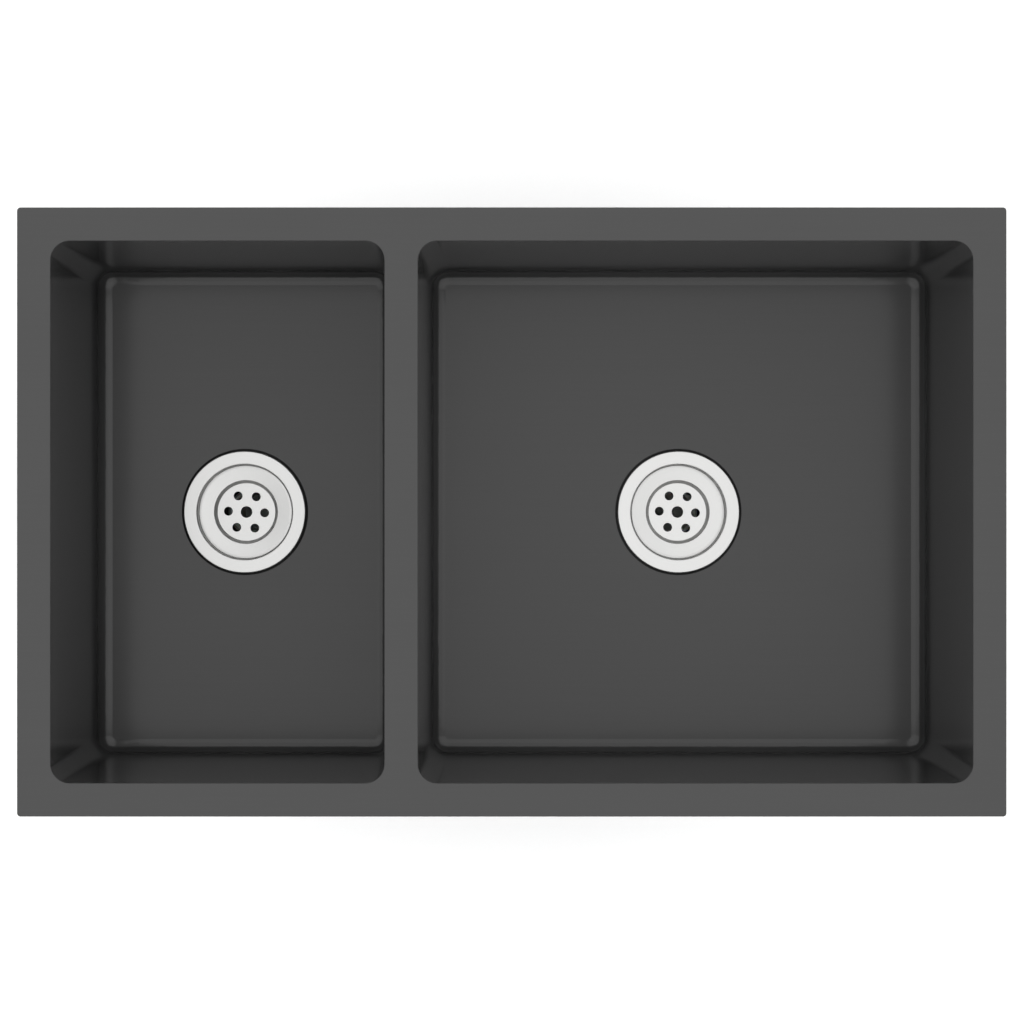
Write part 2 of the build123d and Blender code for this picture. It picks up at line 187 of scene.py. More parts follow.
def tone(tree, factor, low, high):
    """A colour between two hex tones, as a factor from 0 to 1 says."""
    inputs = {MIX_FACTOR: factor, MIX_TONES[0]: linear(low), MIX_TONES[1]: linear(high)}
    return add_node(tree, "ShaderNodeMix", inputs, data_type="RGBA").outputs[TONE_OUT]


def between(tree, factor, low, high):
    """A number between two others, as a factor from 0 to 1 says."""
    inputs = {"Value": factor, "To Min": low, "To Max": high}
    return add_node(tree, "ShaderNodeMapRange", inputs).outputs[0]


def relief(tree, height, strength, depth):
    """A shading normal for a height from 0 to 1, with its strength, and its depth in metres."""
    inputs = {"Height": height, "Strength": strength, "Distance": depth}
    return add_node(tree, "ShaderNodeBump", inputs).outputs[0]


# %% [markdown]
# ## The stage floor
#
# The sink stands on its tailpieces over a plain pale floor, with the faintest paper tooth.

# %% A pale matt floor under the tailpieces
FLOOR_SIZE = 9.0
PAPER_TOOTH = 2 * MM

floor_paper, tree, shader = new_material("floor_white_paper")
spot = add_node(tree, "ShaderNodeTexCoord").outputs["Object"]
tooth = noise(tree, spot, 1 / PAPER_TOOTH)
fill(tree, shader, {"Base Color": tone(tree, tooth, "F9F9F9", "FCFCFC"), "Roughness": 0.9})

floor_mesh = bpy.data.meshes.new("stage_floor")
half = FLOOR_SIZE / 2
floor_corners = [(-half, -half), (half, -half), (half, half), (-half, half)]
floor_mesh.from_pydata([(x, y, cad_low[2]) for x, y in floor_corners], [], [(0, 1, 2, 3)])
floor_mesh.materials.append(floor_paper)
floor = add_object("stage_floor", floor_mesh)

# %% [markdown]
# ## Coated stainless steel
#
# The deck and the bowls are sheet steel, brushed along its length and then given a thin dark
# coating. The coating is satin: it takes a soft light from above and shows only a trace of the
# brushing. The grain could be an image, but stretched noise needs none and never repeats. The
# sheet is bent up at the bowls' ends, so there the grain runs upwards, which the face's normal
# tells.

# %% Material: satin dark coating over brushed sheet
GRAIN_WIDTH = 0.9 * MM  # real brushing is 0.1 mm wide, and is drawn coarser so that it shows
GRAIN_LENGTH = 160 * MM
CLOUD_SIZE = 180 * MM

coated_steel, tree, shader = new_material("satin_coated_stainless_steel")
coords = add_node(tree, "ShaderNodeTexCoord").outputs
grain_scales = (
    (1 / GRAIN_LENGTH, 1 / GRAIN_WIDTH, 1 / GRAIN_WIDTH),
    (1 / GRAIN_WIDTH, 1 / GRAIN_WIDTH, 1 / GRAIN_LENGTH),
)
along, upright = (noise(tree, coords["Object"], s, Detail=3, Roughness=0.6) for s in grain_scales)
facing = add_node(tree, "ShaderNodeSeparateXYZ", {"Vector": coords["Normal"]})
end_wall = add_node(tree, "ShaderNodeMath", {0: facing.outputs["X"]}, operation="ABSOLUTE").outputs[0]
grain_inputs = {MIX_FACTOR: end_wall, MIX_FLOATS[0]: along, MIX_FLOATS[1]: upright}
grain = add_node(tree, "ShaderNodeMix", grain_inputs).outputs[0]
clouds = noise(tree, coords["Object"], 1 / CLOUD_SIZE, Detail=2)
both = add_node(tree, "ShaderNodeMath", {0: grain, 1: clouds}, operation="ADD").outputs[0]
mottle = add_node(tree, "ShaderNodeMath", {0: both, 1: 0.5}, operation="MULTIPLY").outputs[0]
look = {
    "Base Color": tone(tree, mottle, "2E2E2E", "363636"),
    "Roughness": between(tree, mottle, 0.13, 0.18),
    "Normal": relief(tree, grain, strength=0.07, depth=0.05 * MM),
    "IOR": 1.4,
}
fill(tree, shader, look)

# %% [markdown]
# ## Turned stainless steel
#
# The drains are bare stainless steel, finished on a lathe, so their fine lines are circles
# round the drain's own axis. Each turned piece below gets a map called "turning", with the way
# round in u and the distance along its outline in v, and the lines follow v.

# %% Material: bare steel with turning lines
TURNING_LINE = 0.7 * MM  # real lines are 0.05 mm apart, and are drawn coarser so that they show
PATCHES_ROUND = 5

turned_steel, tree, shader = new_material("turned_stainless_steel")
turning = add_node(tree, "ShaderNodeUVMap", uv_map="turning").outputs[0]
lines = noise(tree, turning, (PATCHES_ROUND, 1 / TURNING_LINE, 1), Detail=4)
look = {
    "Base Color": tone(tree, lines, "BABAB9", "C6C6C5"),
    "Roughness": between(tree, lines, 0.38, 0.48),
    "Normal": relief(tree, lines, strength=0.1, depth=0.05 * MM),
    "Metallic": 1.0,
}
fill(tree, shader, look)

# %% [markdown]
# ## Zinc-plated steel
#
# Clips, studs, washers and wing nuts are mild steel with a bright zinc plating. It is a cool
# grey with cloudy patches where the plating bath left it thicker.

# %% Material: cloudy zinc plating
ZINC_PATCH = 5 * MM
ZINC_GRIT = 0.6 * MM

zinc_steel, tree, shader = new_material("zinc_plated_steel")
spot = add_node(tree, "ShaderNodeTexCoord").outputs["Object"]
patches = noise(tree, spot, 1 / ZINC_PATCH, Detail=5)
look = {
    "Base Color": tone(tree, patches, "9DA2A6", "C3C7C9"),
    "Roughness": between(tree, patches, 0.28, 0.46),
    "Normal": relief(tree, noise(tree, spot, 1 / ZINC_GRIT), strength=0.15, depth=0.05 * MM),
    "Metallic": 1.0,
}
fill(tree, shader, look)

# %% [markdown]
# ## Rubber, foam, butyl and fibre
#
# These soft pieces differ in their skin. Moulded rubber has a fine even grain. The foam seal
# shows its small closed cells. The butyl pads under the bowls are matt and a little dusty, and
# the friction ring is pressed from paper fibres that lie flat.

# %% Material: black rubber of the gaskets
RUBBER_GRAIN = 0.5 * MM

black_rubber, tree, shader = new_material("black_moulded_rubber")
spot = add_node(tree, "ShaderNodeTexCoord").outputs["Object"]
grain = noise(tree, spot, 1 / RUBBER_GRAIN, Detail=3)
look = {
    "Base Color": tone(tree, grain, "060606", "0E0E0E"),
    "Roughness": between(tree, grain, 0.38, 0.5),
    "Normal": relief(tree, grain, strength=0.1, depth=0.1 * MM),
    "IOR": 1.52,
}
fill(tree, shader, look)

# %% Material: closed-cell foam of the rim seal
FOAM_CELL = 0.8 * MM

seal_foam, tree, shader = new_material("closed_cell_foam")
spot = add_node(tree, "ShaderNodeTexCoord").outputs["Object"]
cells = add_node(tree, "ShaderNodeTexVoronoi", {"Vector": spot, "Scale": 1 / FOAM_CELL})
bubbles = cells.outputs["Distance"]
look = {
    "Base Color": tone(tree, bubbles, "1A1A1A", "2C2C2C"),
    "Roughness": 0.95,
    "Normal": relief(tree, bubbles, strength=0.5, depth=0.2 * MM),
}
fill(tree, shader, look)

# %% Material: butyl of the sound-deadening pads
BUTYL_GRAIN = 1.2 * MM
DUST_PATCH = 45 * MM

butyl, tree, shader = new_material("matt_butyl_rubber")
spot = add_node(tree, "ShaderNodeTexCoord").outputs["Object"]
dust = noise(tree, spot, 1 / DUST_PATCH, Detail=5)
look = {
    "Base Color": tone(tree, dust, "242527", "3A3B3D"),
    "Roughness": between(tree, dust, 0.62, 0.9),
    "Normal": relief(tree, noise(tree, spot, 1 / BUTYL_GRAIN, Detail=4), strength=0.35, depth=0.2 * MM),
    "IOR": 1.52,
}
fill(tree, shader, look)

# %% Material: pressed fibre of the friction rings
FIBRE_WIDTH = 0.5 * MM
FIBRE_LENGTH = 6 * MM

pressed_fibre, tree, shader = new_material("pressed_fibre_board")
spot = add_node(tree, "ShaderNodeTexCoord").outputs["Object"]
fibre_scale = (1 / FIBRE_LENGTH, 1 / FIBRE_WIDTH, 1 / FIBRE_WIDTH)
fibres = noise(tree, spot, fibre_scale, Detail=4, Distortion=2)
look = {
    "Base Color": tone(tree, fibres, "6E5C40", "A08A66"),
    "Roughness": 0.88,
    "Normal": relief(tree, fibres, strength=0.4, depth=0.1 * MM),
}
fill(tree, shader, look)

# %% [markdown]
# ## Moulded polypropylene
#
# The big nuts are black polypropylene from a spark-eroded mould, so they have a fine satin
# texture. The tailpieces and their nuts are white: smoother, a little waxy, and light passes
# a short way into them.

# %% Material: black and white polypropylene
MOULD_TEXTURE = 0.5 * MM
FLOW_PATCH = 25 * MM
WAXY_DEPTH = 1 * MM

polypropylenes = {}
for name, low_tone, high_tone, roughness in (
    ("black_polypropylene", "141415", "1E1E20", 0.5),
    ("white_polypropylene", "DEDDD8", "E9E8E4", 0.38),
):
    plastic, tree, shader = new_material(name)
    spot = add_node(tree, "ShaderNodeTexCoord").outputs["Object"]
    texture = noise(tree, spot, 1 / MOULD_TEXTURE)
    look = {
        "Base Color": tone(tree, noise(tree, spot, 1 / FLOW_PATCH), low_tone, high_tone),
        "Roughness": between(tree, texture, roughness - 0.06, roughness + 0.08),
        "Normal": relief(tree, texture, strength=0.2, depth=0.05 * MM),
        "IOR": 1.49,
    }
    fill(tree, shader, look)
    polypropylenes[name] = plastic
black_plastic = polypropylenes["black_polypropylene"]
white_plastic = polypropylenes["white_polypropylene"]
# The white one came last, so its shader is still at hand
fill(tree, shader, {"Subsurface Weight": 0.15, "Subsurface Scale": WAXY_DEPTH})
print("materials:", len(bpy.data.materials))

# %% [markdown]
# ## Finishes for the solids that stay
#
# The deck, the bowls, the seal, the clips, the washers and the flat rings have the right shape
# already, so each keeps its CAD mesh and only gets its material. The rest are named too, and
# the meshes made further down will stand for them.

# %% Give every CAD node its material
finish_by_ending = {
    "deck_panel": coated_steel,
    "bowl": coated_steel,
    "rim_seal": seal_foam,
    "gasket": black_rubber,
    "tail_washer": black_rubber,
    "friction_ring": pressed_fibre,
    "lock_nut": black_plastic,
    "coupling_nut": white_plastic,
    "tailpiece": white_plastic,
    "drain_body": turned_steel,
    "strainer": turned_steel,
}
for name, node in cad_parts.items():
    finish = next((m for ending, m in finish_by_ending.items() if name.endswith(ending)), None)
    if name.startswith("clip_"):
        finish = zinc_steel
    if "_pad_" in name:
        finish = butyl
    node.data.materials.clear()
    node.data.materials.append(finish)
print("finished nodes:", len(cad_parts))

# %% [markdown]
# ## Tools for pieces
#
# Most pieces under a sink are round, or are a flat outline with a thickness. So there are two
# makers: one turns an outline on a lathe, and one pushes an outline up into a prism. Corners
# are rounded in the outline itself, which costs fewer faces than a bevel afterwards.

# %% Outlines, lathe and prism
ARC_STEPS = 5
LATHE_STEPS = 128


def rounded(corners):
    """A closed outline in mm from corners of (across, up, radius), with an arc at each corner."""
    points = []
    for index, (across, up, radius) in enumerate(corners):
        corner = Vector((across, up))
        if radius == 0:
            points.append(corner)
            continue
        back = (Vector(corners[index - 1][:2]) - corner).normalized()
        ahead = (Vector(corners[(index + 1) % len(corners)][:2]) - corner).normalized()
        half_angle = back.angle(ahead) / 2
        middle = corner + (back + ahead).normalized() * radius / math.sin(half_angle)
        start = corner + back * radius / math.tan(half_angle) - middle
        end = corner + ahead * radius / math.tan(half_angle) - middle
        points += [middle + start.slerp(end, step / ARC_STEPS) * radius for step in range(ARC_STEPS + 1)]
    return points


def new_piece(name, shape):
    """An object from a bmesh, with doubles merged and every face turned outwards."""
    bmesh.ops.remove_doubles(shape, verts=shape.verts, dist=0.001 * MM)
    bmesh.ops.recalc_face_normals(shape, faces=shape.faces)
    mesh = bpy.data.meshes.new(name)
    shape.to_mesh(mesh)
    shape.free()
    return add_object(name, mesh)


def lathe(name, centre_x, corners, steps=LATHE_STEPS):
    """Turn an outline of (radius, height, bend) corners in mm once round an upright axis."""
    outline = rounded(corners)
    shape = bmesh.new()
    turning_map = shape.loops.layers.uv.new("turning")
    rings = []
    for step in range(steps):
        turn = math.tau * step / steps
        across, back = math.cos(turn) * MM, math.sin(turn) * MM
        rings.append([shape.verts.new((centre_x + p.x * across, p.x * back, p.y * MM)) for p in outline])
    travelled = [0.0]
    for index, point in enumerate(outline):
        travelled.append(travelled[-1] + (point - outline[(index + 1) % len(outline)]).length * MM)
    for step in range(steps):
        here, there = rings[step], rings[(step + 1) % steps]
        for index in range(len(outline)):
            following = (index + 1) % len(outline)
            face = shape.faces.new((here[index], there[index], there[following], here[following]))
            map_corners = ((0, 0), (1, 0), (1, 1), (0, 1))
            for loop, (round_step, along_step) in zip(face.loops, map_corners):
                loop[turning_map].uv = ((step + round_step) / steps, travelled[index + along_step])
    return new_piece(name, shape)


def prism(name, corners, thickness, place=Matrix.Identity(4)):
    """Push an outline of (x, y, bend) corners in mm up by a thickness, then put it in place."""
    outline = rounded(corners)
    shape = bmesh.new()
    foot = [shape.verts.new((p.x * MM, p.y * MM, 0)) for p in outline]
    top = [shape.verts.new((p.x * MM, p.y * MM, thickness * MM)) for p in outline]
    shape.faces.new(list(reversed(foot)))
    shape.faces.new(top)
    for index in range(len(outline)):
        following = (index + 1) % len(outline)
        shape.faces.new((foot[index], foot[following], top[following], top[index]))
    shape.transform(place)
    return new_piece(name, shape)


# %% [markdown]
# Three more tools finish a piece. One swaps the piece's mesh for what its modifiers make, so
# that no modifier is left on it, and one bevels its edges. The last shades it: smooth, but sharp
# over real edges, with the normals weighted by area so that flat faces stay flat up to them.

# %% Plain meshes, shading, and a place on a body
SHARP_ANGLE = math.radians(38)
BEVEL_STEPS = 2


def keep_plain(piece):
    """Swap a piece's mesh for the one that its modifiers make, and take the modifiers off."""
    graph = bpy.context.evaluated_depsgraph_get()
    mesh = bpy.data.meshes.new_from_object(piece.evaluated_get(graph), depsgraph=graph)
    piece.modifiers.clear()
    piece.data = mesh


def soften(piece, width):
    """Bevel a piece's edges by a width in mm."""
    bevel = piece.modifiers.new("soft_edge", "BEVEL")
    bevel.width = width * MM
    bevel.segments = BEVEL_STEPS
    keep_plain(piece)


def finish_piece(piece, material, slot, body, *nodes):
    """Shade a piece, give it its material, and let it ride on a body in place of CAD nodes."""
    piece.data.shade_smooth()
    piece.data.set_sharp_from_angle(angle=SHARP_ANGLE)
    weighted = piece.modifiers.new("flat_faces", "WEIGHTED_NORMAL")
    weighted.keep_sharp = True
    keep_plain(piece)
    piece.data.materials.clear()
    piece.data.materials.append(material)
    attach(piece, body)
    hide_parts(*nodes)
    print(f"{piece.name}: {len(piece.data.polygons)} faces")


# %% [markdown]
# ## Tools for Geometry Nodes
#
# What repeats, or winds along a path, is made by Geometry Nodes: a small tree with named inputs
# does the same job for every place it is needed. One helper starts such a tree, one closes it,
# and one runs it on a piece with given values and keeps the plain mesh that comes out.

# %% Start a tree, close it, and run it


def new_geometry_tree(name, sockets):
    """A tree with these inputs and a material: returns it, its given values and output node."""
    tree = bpy.data.node_groups.new(name, "GeometryNodeTree")
    tree.is_modifier = True
    tree.interface.new_socket("Geometry", in_out="INPUT", socket_type="NodeSocketGeometry")
    for label, kind in {**sockets, "Material": "Material"}.items():
        tree.interface.new_socket(label, in_out="INPUT", socket_type=f"NodeSocket{kind}")
    tree.interface.new_socket("Geometry", in_out="OUTPUT", socket_type="NodeSocketGeometry")
    return tree, add_node(tree, "NodeGroupInput").outputs, add_node(tree, "NodeGroupOutput")


def end_tree(tree, given, output, geometry):
    """Close a tree: real faces instead of instances, then the material, then the output."""
    real = add_node(tree, "GeometryNodeRealizeInstances", {"Geometry": geometry})
    painted = add_node(
        tree, "GeometryNodeSetMaterial", {"Geometry": real.outputs[0], "Material": given["Material"]}
    )
    tree.links.new(painted.outputs[0], output.inputs[0])


def run_tree(piece, tree, **values):
    """Run a tree on a piece with these values for its inputs, and keep the plain result."""
    modifier = piece.modifiers.new(tree.name, "NODES")
    modifier.node_group = tree
    for item in tree.interface.items_tree:
        key = item.name.lower().replace(" ", "_")
        if item.in_out == "INPUT" and key in values:
            modifier[item.identifier] = values[key]
    keep_plain(piece)


# %% [markdown]
# ## Screw threads
#
# A thread is one ridge that climbs round a core. A helix is swept with a small four-sided
# profile whose middle lies on the core's surface, so its outer half makes the V-shaped ridge.

# %% Tree: a ridge wound round a core
THREAD_SIZES = {
    "Radius": "Float",
    "Depth": "Float",
    "Pitch": "Float",
    "Turns": "Float",
    "Steps": "Int",
    "Start": "Vector",
}
thread_tree, given, output = new_geometry_tree("screw_thread", THREAD_SIZES)
core_radius = add_node(
    thread_tree, "ShaderNodeMath", {0: given["Radius"], 1: given["Depth"]}, operation="SUBTRACT"
)
climb = add_node(
    thread_tree, "ShaderNodeMath", {0: given["Pitch"], 1: given["Turns"]}, operation="MULTIPLY"
)
helix = add_node(
    thread_tree,
    "GeometryNodeCurveSpiral",
    {"Resolution": given["Steps"], "Rotations": given["Turns"],
     "Start Radius": core_radius.outputs[0], "End Radius": core_radius.outputs[0],
     "Height": climb.outputs[0]},
)
upright = add_node(thread_tree, "GeometryNodeSetCurveNormal", {"Curve": helix.outputs[0]}, mode="Z_UP")
ridge = add_node(
    thread_tree, "GeometryNodeCurvePrimitiveCircle", {"Resolution": 4, "Radius": given["Depth"]}
)
swept = add_node(
    thread_tree,
    "GeometryNodeCurveToMesh",
    {"Curve": upright.outputs[0], "Profile Curve": ridge.outputs["Curve"], "Fill Caps": True},
)
placed = add_node(
    thread_tree, "GeometryNodeTransform", {"Geometry": swept.outputs[0], "Translation": given["Start"]}
)
joined = add_node(thread_tree, "GeometryNodeJoinGeometry")
thread_tree.links.new(given["Geometry"], joined.inputs[0])
thread_tree.links.new(placed.outputs[0], joined.inputs[0])
end_tree(thread_tree, given, output, joined.outputs[0])

# %% [markdown]
# ## Copies on points
#
# Lugs, ribs, studs and wing nuts are one shape set down at several places. The places are the
# points of a small mesh, and an attribute called "turn" says how far each copy is turned.

# %% Tree: one piece set down on every point
copies_tree, given, output = new_geometry_tree("copies_on_points", {"Copy": "Object"})
copied = add_node(copies_tree, "GeometryNodeObjectInfo", {"Object": given["Copy"]})
turn_value = add_node(copies_tree, "GeometryNodeInputNamedAttribute", {"Name": "turn"}, data_type="FLOAT")
turn_angles = add_node(copies_tree, "ShaderNodeCombineXYZ", {"Z": turn_value.outputs[0]})
set_down = add_node(
    copies_tree,
    "GeometryNodeInstanceOnPoints",
    {"Points": given["Geometry"], "Instance": copied.outputs["Geometry"],
     "Rotation": turn_angles.outputs[0]},
)
end_tree(copies_tree, given, output, set_down.outputs[0])


def copies(name, places, copy, material):
    """Set copies of a piece down at places of (x, y, z, turn), in metres and radians."""
    mesh = bpy.data.meshes.new(name)
    mesh.from_pydata([place[:3] for place in places], [], [])
    turns = mesh.attributes.new("turn", "FLOAT", "POINT")
    turns.data.foreach_set("value", [place[3] for place in places])
    piece = add_object(name, mesh)
    run_tree(piece, copies_tree, copy=copy, material=material)
    bpy.data.objects.remove(copy)
    return piece


def round_the_axis(centre_x, radius, height, count):
    """Places evenly round a drain's axis, each turned to face outwards."""
    turns = [math.tau * index / count for index in range(count)]
    return [(centre_x + radius * math.cos(t), radius * math.sin(t), height, t) for t in turns]


def round_size(name):
    """A round CAD node's outer radius, bottom and top in mm."""
    low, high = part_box(name)
    return (high.x - low.x) / 2 / MM, low.z / MM, high.z / MM


def merge_into(piece, other):
    """Join another piece's mesh into this one, and drop the other."""
    shape = bmesh.new()
    shape.from_mesh(piece.data)
    shape.from_mesh(other.data)
    shape.to_mesh(piece.data)
    shape.free()
    bpy.data.objects.remove(other)


# %% [markdown]
# ## Perforations
#
# The strainer's plate has a ring of round holes. Holes could be drawn in the mesh by hand, but
# a boolean cut with a ring of short cylinders is exact, and its inputs say how many and where.

# %% Tree: a ring of round holes
HOLE_SIZES = {
    "Count": "Int",
    "Ring Radius": "Float",
    "Hole Radius": "Float",
    "Depth": "Float",
    "Turn": "Vector",
    "Middle": "Vector",
}
HOLE_STEPS = 40
holes_tree, given, output = new_geometry_tree("ring_of_holes", HOLE_SIZES)
hole_ring = add_node(
    holes_tree, "GeometryNodeMeshCircle", {"Vertices": given["Count"], "Radius": given["Ring Radius"]}
)
placed = add_node(
    holes_tree,
    "GeometryNodeTransform",
    {"Geometry": hole_ring.outputs[0], "Translation": given["Middle"],
     "Rotation": given["Turn"]},
)
punch = add_node(
    holes_tree,
    "GeometryNodeMeshCylinder",
    {"Vertices": HOLE_STEPS, "Radius": given["Hole Radius"], "Depth": given["Depth"]},
)
punches = add_node(
    holes_tree,
    "GeometryNodeInstanceOnPoints",
    {"Points": placed.outputs[0], "Instance": punch.outputs["Mesh"]},
)
real_punches = add_node(holes_tree, "GeometryNodeRealizeInstances", {"Geometry": punches.outputs[0]})
punched = add_node(holes_tree, "GeometryNodeMeshBoolean", operation="DIFFERENCE", solver="EXACT")
holes_tree.links.new(given["Geometry"], punched.inputs["Mesh 1"])
holes_tree.links.new(real_punches.outputs[0], punched.inputs["Mesh 2"])
end_tree(holes_tree, given, output, punched.outputs["Mesh"])

# %% [markdown]
# ## The drain bodies
#
# Each drain is one turned piece: a flat flange on the bowl's floor, a threaded neck through
# the hole, a ledge that the strainer rests on, and a funnel down to the outlet. Its outline is
# turned on the lathe, and the thread tree winds the ridges on the neck and the outlet. The
# chamber's inward faces under the ledge get the sink's dark coating as painted shade, in place
# of the bare steel that is there, so that the holes above it look black.

# %% Drain bodies with their threads
FLANGE_RADIUS, OUTLET_END, FLANGE_TOP = round_size("small_drain_body")
FLANGE_THICKNESS = 2.0
FLANGE_EDGE = 0.9
FLANGE_FOOT = 0.2
NECK_RADIUS = 44.2
NECK_BORE = 42.5
SHOULDER = 2.0
LEDGE_RADIUS = 40.0
LEDGE_DROP = 10.1
CHAMBER_DROP = 25.1
LEDGE_EDGE = 0.3
NECK_DROP = 29.0
NECK_FOOT = 1.0
FUNNEL_DROP = 49.0
FUNNEL_FOOT = 1.5
OUTLET_RADIUS = 23.9
OUTLET_BORE = 20.4
OUTLET_EDGE = 0.5
FUNNEL_BEND = 4.0
THREAD_DEPTH = 0.8
THREAD_PITCH = 2.5
THREAD_STEPS = 96
NECK_THREAD_TURNS = 8.0
NECK_THREAD_START = 1.5
OUTLET_THREAD_TURNS = 6.0
OUTLET_THREAD_START = 1.2
CHAMBER_WIDEST = 41 * MM

drain_x = {}
for size in ("small", "large"):
    low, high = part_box(f"{size}_drain_body")
    drain_x[size] = (low.x + high.x) / 2
    flange_under = FLANGE_TOP - FLANGE_THICKNESS
    ledge_height = FLANGE_TOP - LEDGE_DROP
    corners = [
        (NECK_BORE, FLANGE_TOP, SHOULDER),
        (FLANGE_RADIUS, FLANGE_TOP, FLANGE_EDGE),
        (FLANGE_RADIUS, flange_under, FLANGE_FOOT),
        (NECK_RADIUS - THREAD_DEPTH, flange_under, 0),
        (NECK_RADIUS - THREAD_DEPTH, FLANGE_TOP - NECK_DROP, NECK_FOOT),
        (OUTLET_RADIUS - THREAD_DEPTH, FLANGE_TOP - FUNNEL_DROP, FUNNEL_FOOT),
        (OUTLET_RADIUS - THREAD_DEPTH, OUTLET_END, OUTLET_EDGE),
        (OUTLET_BORE, OUTLET_END, OUTLET_EDGE),
        (OUTLET_BORE, FLANGE_TOP - FUNNEL_DROP, FUNNEL_BEND),
        (LEDGE_RADIUS, FLANGE_TOP - CHAMBER_DROP, FUNNEL_BEND),
        (LEDGE_RADIUS, ledge_height, LEDGE_EDGE),
        (NECK_BORE, ledge_height, LEDGE_EDGE),
    ]
    body = lathe(f"{size}_drain_turned", drain_x[size], corners)
    threads = (
        (NECK_RADIUS, FLANGE_TOP - NECK_DROP + NECK_THREAD_START, NECK_THREAD_TURNS),
        (OUTLET_RADIUS, OUTLET_END + OUTLET_THREAD_START, OUTLET_THREAD_TURNS),
    )
    for radius, start, turns in threads:
        run_tree(
            body,
            thread_tree,
            radius=radius * MM,
            depth=THREAD_DEPTH * MM,
            pitch=THREAD_PITCH * MM,
            turns=turns,
            steps=THREAD_STEPS,
            start=(drain_x[size], 0, start * MM),
            material=turned_steel,
        )
    finish_piece(body, turned_steel, "drain_steel", "sink", f"{size}_drain_body")
    # Painted shade: the chamber's inward faces take the dark coating instead of bare steel, so the holes
    # look black
    body.data.materials.append(coated_steel)
    for face in body.data.polygons:
        outwards = Vector((face.center.x - drain_x[size], face.center.y, 0))
        faces_in = face.normal.dot(outwards) < 0
        in_chamber = face.center.z < ledge_height * MM and outwards.length < CHAMBER_WIDEST
        if faces_in and in_chamber:
            face.material_index = 1

# %% [markdown]
# ## The strainers
#
# A strainer is a dish pressed from thin sheet: a narrow flat rim, a sloping ring, a short step
# and a plate. The centre hole is in the lathe's outline. The ring of six holes round it is cut
# by the perforation tree, and the ring is turned a little, as in the photograph.

# %% Strainer dishes with their holes
STRAINER_SHEET = 1.0
STRAINER_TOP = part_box("small_strainer")[1].z / MM
RIM_OUTSIDE = 42.1
RIM_INSIDE = 40.1
RIM_INSIDE_BELOW = 40.19
STEP_HEAD = 28.9
STEP_HEAD_BELOW = 29.54
STEP_FOOT = 26.3
STEP_FOOT_BELOW = 26.89
SLOPE_DROP = 2.0
SLOPE_DROP_BELOW = 2.9
PLATE_DROP = 6.7
RIM_EDGE = 0.3
HOLE_EDGE = 0.2
TIGHT_BEND = 0.5
SOFT_BEND = 0.6
CENTRE_HOLE = 5.15
HOLE_RADIUS = 4.05
HOLE_RING = 16.5
HOLE_COUNT = 6
HOLE_TURN = math.radians(-2.6)

for size, x in drain_x.items():
    plate_height = STRAINER_TOP - PLATE_DROP
    corners = [
        (RIM_OUTSIDE, STRAINER_TOP, RIM_EDGE),
        (RIM_INSIDE, STRAINER_TOP, SOFT_BEND),
        (STEP_HEAD, STRAINER_TOP - SLOPE_DROP, TIGHT_BEND),
        (STEP_FOOT, plate_height, TIGHT_BEND),
        (CENTRE_HOLE, plate_height, HOLE_EDGE),
        (CENTRE_HOLE, plate_height - STRAINER_SHEET, HOLE_EDGE),
        (STEP_FOOT_BELOW, plate_height - STRAINER_SHEET, SOFT_BEND),
        (STEP_HEAD_BELOW, STRAINER_TOP - SLOPE_DROP_BELOW, SOFT_BEND),
        (RIM_INSIDE_BELOW, STRAINER_TOP - STRAINER_SHEET, SOFT_BEND),
        (RIM_OUTSIDE, STRAINER_TOP - STRAINER_SHEET, RIM_EDGE),
    ]
    dish = lathe(f"{size}_strainer_dish", x, corners)
    run_tree(
        dish,
        holes_tree,
        count=HOLE_COUNT,
        ring_radius=HOLE_RING * MM,
        hole_radius=HOLE_RADIUS * MM,
        depth=3 * STRAINER_SHEET * MM,
        turn=(0, 0, HOLE_TURN),
        middle=(x, 0, (plate_height - STRAINER_SHEET / 2) * MM),
        material=turned_steel,
    )
    finish_piece(dish, turned_steel, "drain_steel", f"{size}_strainer", f"{size}_strainer")

# %% [markdown]
# ## The flange gaskets
#
# A thin black ring shows all round each flange. It is a soft rubber washer whose edge is
# squeezed out into a lip. The lip slopes down to the bowl's floor, so that it mirrors only the
# dark walls and looks blacker than a flat edge would under the pale dome.

# %% Flange gaskets with a sloping lip
LIP_TOP_INSET = 2.0
LIP_FOOT = 0.3
LIP_TOP_EDGE = 0.2
LIP_EDGE = 0.1
LIP_FOOT_EDGE = 0.05
NECK_PLAY = 0.3

for size, x in drain_x.items():
    outer, bottom, top = round_size(f"{size}_flange_gasket")
    corners = [
        (outer - LIP_TOP_INSET, top, LIP_TOP_EDGE),
        (outer, bottom + LIP_FOOT, LIP_EDGE),
        (outer, bottom, LIP_FOOT_EDGE),
        (NECK_RADIUS + NECK_PLAY, bottom, 0),
        (NECK_RADIUS + NECK_PLAY, top, 0),
    ]
    gasket = lathe(f"{size}_flange_gasket_lip", x, corners)
    finish_piece(gasket, black_rubber, "gasket_rubber", "sink", f"{size}_flange_gasket")

# %% [markdown]
# ## The lock nuts
#
# A wide flat nut of black plastic clamps each drain from below. Four lugs stand out from it for
# a wrench, and small ribs between them give the fingers a grip. The ring is turned, and the
# copies tree sets the lugs and the ribs round it.

# %% Lock nuts with lugs and grip ribs
LUG_COUNT = 4
LUG_WIDTH = 12.0
LUG_ROOT = 5.0
LUG_CORNER = 2.0
LOCK_NUT_RADIUS = 51.0
GRIP_COUNT = 36
GRIP_REACH = 0.9
GRIP_WIDTH = 2.2
EDGE_ROUND = 0.8
THREAD_PLAY = 0.05


